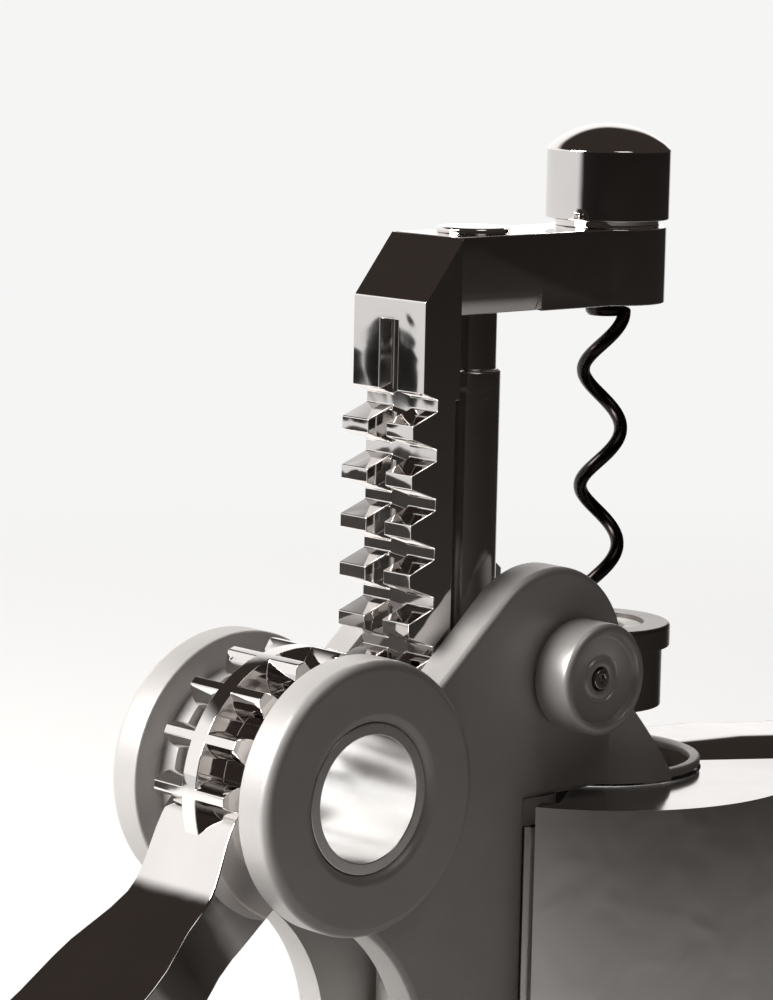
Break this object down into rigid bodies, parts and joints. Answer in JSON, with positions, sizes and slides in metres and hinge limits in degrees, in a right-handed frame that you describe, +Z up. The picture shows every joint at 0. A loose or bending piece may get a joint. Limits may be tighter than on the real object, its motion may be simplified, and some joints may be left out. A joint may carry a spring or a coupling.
{
  "type": "lever corkscrew",
  "caption": "Lever corkscrew with rack and pinion, a turning worm on a sliding arm, two pierced pivot discs, a hinged lever and two gripping handles.",
  "frame": {"origin": "on the worm's axis, at the top of the closed jaws and handles' barrel, where a bottle's lip comes up to", "axes": "+Z up along the worm, +X from the lever towards the gripping handles, +Y to the left side"},
  "size_m": [0.2984, 0.058, 0.1768],
  "materials": {
    "satin_metal": "satin metallic die casting",
    "knob_metal": "fine turned satin",
    "mirror_chrome": "mirror chrome",
    "steel": "ground steel",
    "dark_worm": "dark non-stick coat on steel",
    "guide_metal": "dark satin with a bright rim",
    "bearing_bronze": "sintered bronze",
    "bearing_plastic": "moulded acetal",
    "grip_shell": "polished chrome, darker than the carriage",
    "soft_pad": "soft moulded rubber",
    "jaw_rubber": "moulded rubber with fine ribs"
  },
  "bodies": {
    "frame": {"left_cheek": "satin_metal", "right_cheek": "satin_metal", "left_cheek_screws": "steel", "right_cheek_screws": "steel", "left_pivot_disc": "satin_metal", "right_pivot_disc": "satin_metal", "pivot_sleeve": "mirror_chrome", "frame_body": "satin_metal", "rod_bush": "bearing_bronze", "rack_shoe": "bearing_plastic", "lip_bridge": "satin_metal", "left_hinge_pin": "steel", "right_hinge_pin": "steel", "worm_guide": "guide_metal", "worm_nut": "bearing_plastic", "guide_screws": "steel"},
    "latch": {"latch_axle": "steel", "latch_pawl": "steel", "latch_spring": "steel", "left_side_knob": "knob_metal", "right_side_knob": "knob_metal", "left_knob_screw": "steel", "right_knob_screw": "steel"},
    "carriage": {"rack": "mirror_chrome", "carriage_arm": "mirror_chrome", "arm_dowels": "steel", "guide_rod": "steel", "rod_flange": "mirror_chrome", "worm_bush": "bearing_bronze", "worm_cap": "mirror_chrome"},
    "worm": {"worm": "dark_worm", "worm_clip": "steel"},
    "lever": {"lever_drum": "mirror_chrome", "drum_bush": "bearing_plastic", "lever_arm": "mirror_chrome", "lever_pad": "soft_pad", "lever_screws": "steel"},
    "left_grip": {"left_grip_handle": "grip_shell", "left_grip_pad": "soft_pad", "left_jaw": "jaw_rubber"},
    "right_grip": {"right_grip_handle": "grip_shell", "right_grip_pad": "soft_pad", "right_jaw": "jaw_rubber"}
  },
  "joints": [
    {"name": "lever_hinge", "type": "hinge", "parent": "frame", "child": "lever", "pos_m": [-0.054, 0, 0.005], "axis": [0, 1, 0], "range_deg": [0, 158]},
    {"name": "carriage_slide", "type": "slide", "parent": "frame", "child": "carriage", "axis": [0, 0, -1], "range_m": [0, 0.04146]},
    {"name": "worm_spin", "type": "hinge", "parent": "carriage", "child": "worm", "pos_m": [0, 0, 0.04], "axis": [0, 0, -1], "range_deg": [0, 956.6]},
    {"name": "latch_turn", "type": "hinge", "parent": "frame", "child": "latch", "pos_m": [-0.0166, 0, 0.0161], "axis": [0, -1, 0], "range_deg": [0, 12], "stiffness_Nm_per_rad": 0.05, "springref_deg": -14.32},
    {"name": "left_grip_hinge", "type": "hinge", "parent": "frame", "child": "left_grip", "pos_m": [-0.0205, 0.0085, -0.022], "axis": [0, 0, 1], "range_deg": [0, 12]},
    {"name": "right_grip_hinge", "type": "hinge", "parent": "frame", "child": "right_grip", "pos_m": [-0.0205, -0.0085, -0.022], "axis": [0, 0, -1], "range_deg": [0, 12]}
  ],
  "couplings": [
    {"joint": "carriage_slide", "follows": "lever_hinge", "m_per_rad": 0.015},
    {"joint": "worm_spin", "follows": "lever_hinge", "ratio": 6.0415}
  ]
}
